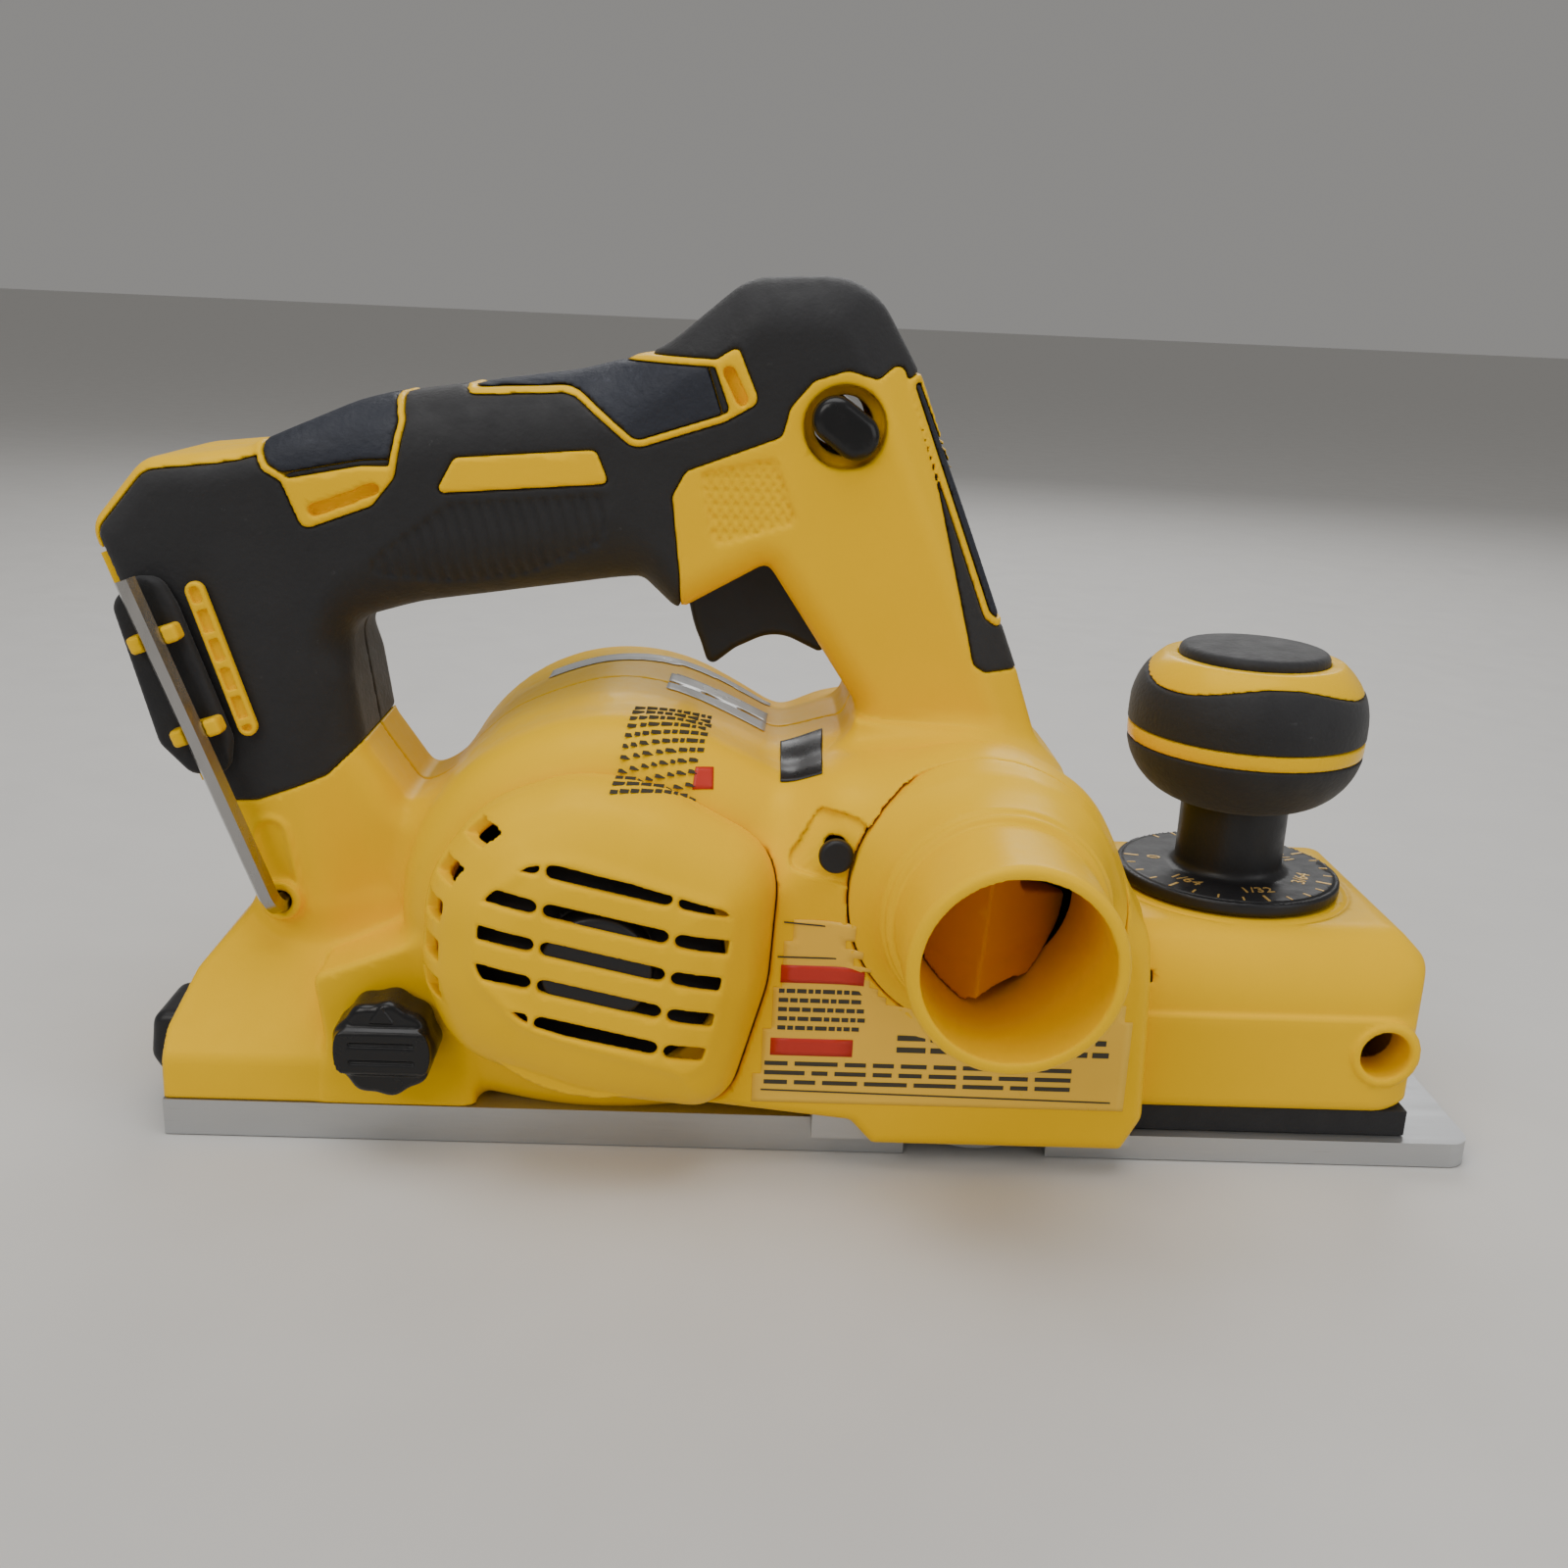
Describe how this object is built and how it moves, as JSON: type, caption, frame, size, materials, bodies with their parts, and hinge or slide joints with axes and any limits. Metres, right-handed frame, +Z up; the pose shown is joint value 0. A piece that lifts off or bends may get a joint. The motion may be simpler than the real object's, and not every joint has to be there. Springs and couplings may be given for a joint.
{
  "type": "electric hand planer",
  "caption": "Cordless hand planer with a D handle, round side chip port, cutter drum between two shoes, and a ball depth knob over a graduated dial.",
  "frame": {"origin": "underside of the rear shoe, midway along and across the sole", "axes": "+X forwards to the depth knob, +Y to the user's left (belt side), +Z up from the sole"},
  "size_m": [0.3055, 0.154, 0.1866],
  "materials": {
    "yellow_housing": "lightly textured moulded nylon",
    "black_rubber": "soft grained overmold",
    "black_plastic": "moulded, fine texture",
    "sole_aluminium": "milled and satin",
    "cast_aluminium": "die cast",
    "steel": "ground",
    "bright_steel": "bright drawn",
    "carbide": "ground edge",
    "copper": "enamelled wire",
    "brass_parts": "plated",
    "belt_rubber": "ribbed belt",
    "board": "potted",
    "wire": "insulated wires",
    "yellow_trim": "smooth"
  },
  "bodies": {
    "planer_body": {"rear_shoe": "sole_aluminium", "drum_bearings": "bright_steel", "drive_belt": "belt_rubber", "motor_stator": "steel", "stator_coils": "copper", "motor_bearings": "bright_steel", "housing_right": "yellow_housing", "housing_left": "yellow_housing", "grip_rubber_right": "black_rubber", "grip_rubber_left": "black_rubber", "motor_cover": "yellow_housing", "chip_chute": "yellow_housing", "chip_deflector": "yellow_trim", "chip_duct": "black_plastic", "front_housing": "yellow_housing", "front_shoe_seal": "black_rubber", "belt_cover": "black_plastic", "switch_module": "black_plastic", "trigger_pin": "steel", "trigger_spring": "steel", "battery_terminal_block": "black_plastic", "battery_contacts": "brass_parts", "battery_rails": "yellow_housing", "control_board": "board", "heat_sink": "cast_aluminium", "wire_harness": "wire", "wrench_holder": "black_rubber", "wrench_clips": "yellow_trim", "kickstand_pin": "steel", "housing_screws": "steel", "belt_cover_screws": "steel", "vent_plug": "black_plastic", "sole_screws": "steel"},
    "front_shoe": {"front_shoe": "sole_aluminium", "shoe_nut": "brass_parts", "shoe_springs": "steel"},
    "depth_knob": {"knob_core": "yellow_trim", "knob_grip": "black_rubber", "knob_cap": "black_rubber", "depth_dial": "black_plastic", "knob_spindle": "steel"},
    "cutter_drum": {"cutter_drum": "cast_aluminium", "cutter_blades": "carbide", "blade_clamps": "steel", "blade_clamp_screws": "steel", "drum_pulley": "cast_aluminium", "drum_pulley_nut": "steel"},
    "motor_rotor": {"motor_rotor": "steel", "motor_shaft": "steel", "motor_fan": "black_plastic", "motor_pulley": "steel"},
    "trigger": {"trigger": "black_plastic"},
    "lock_off_button": {"lock_off_button": "black_plastic"},
    "kickstand": {"kickstand": "black_plastic"},
    "kickstand_lock_knob": {"kickstand_lock_knob": "black_plastic"},
    "hex_wrench": {"hex_wrench": "bright_steel"}
  },
  "joints": [
    {"name": "depth_knob_turn", "type": "hinge", "parent": "planer_body", "child": "depth_knob", "pos_m": [0.0954, 0, 0.0565], "axis": [0, 0, 1], "range_deg": [0, 300]},
    {"name": "front_shoe_lift", "type": "slide", "parent": "planer_body", "child": "front_shoe", "axis": [0, 0, 1], "range_m": [0, 0.002], "deforming": ["shoe_springs", "front_shoe_seal"]},
    {"name": "drum_spin", "type": "hinge", "parent": "planer_body", "child": "cutter_drum", "pos_m": [0.033, 0, 0.024], "axis": [0, 1, 0], "continuous": true},
    {"name": "motor_spin", "type": "hinge", "parent": "planer_body", "child": "motor_rotor", "pos_m": [-0.05, 0, 0.051], "axis": [0, 1, 0], "continuous": true},
    {"name": "trigger_pull", "type": "hinge", "parent": "planer_body", "child": "trigger", "pos_m": [-0.029, 0, 0.125], "axis": [0, -1, 0], "range_deg": [0, 14], "stiffness_Nm_per_rad": 0.6, "springref_deg": -11.46, "deforming": ["trigger_spring"]},
    {"name": "lock_off_push", "type": "slide", "parent": "planer_body", "child": "lock_off_button", "axis": [0, 1, 0], "range_m": [0, 0.0035], "stiffness_N_per_m": 400, "springref_m": -0.001},
    {"name": "kickstand_drop", "type": "hinge", "parent": "planer_body", "child": "kickstand", "pos_m": [-0.128, -0.023, 0.016], "axis": [0, -1, 0], "range_deg": [0, 60]},
    {"name": "kickstand_lock_turn", "type": "hinge", "parent": "planer_body", "child": "kickstand_lock_knob", "pos_m": [-0.0954, -0.046, 0.0267], "axis": [0, 1, 0], "range_deg": [0, 63]},
    {"name": "wrench_pull", "type": "slide", "parent": "planer_body", "child": "hex_wrench", "axis": [0, -1, 0], "range_m": [0, 0.025]}
  ],
  "couplings": [
    {"joint": "front_shoe_lift", "follows": "depth_knob_turn", "m_per_rad": 0.00038193},
    {"joint": "motor_spin", "follows": "drum_spin", "ratio": 1.6667}
  ]
}
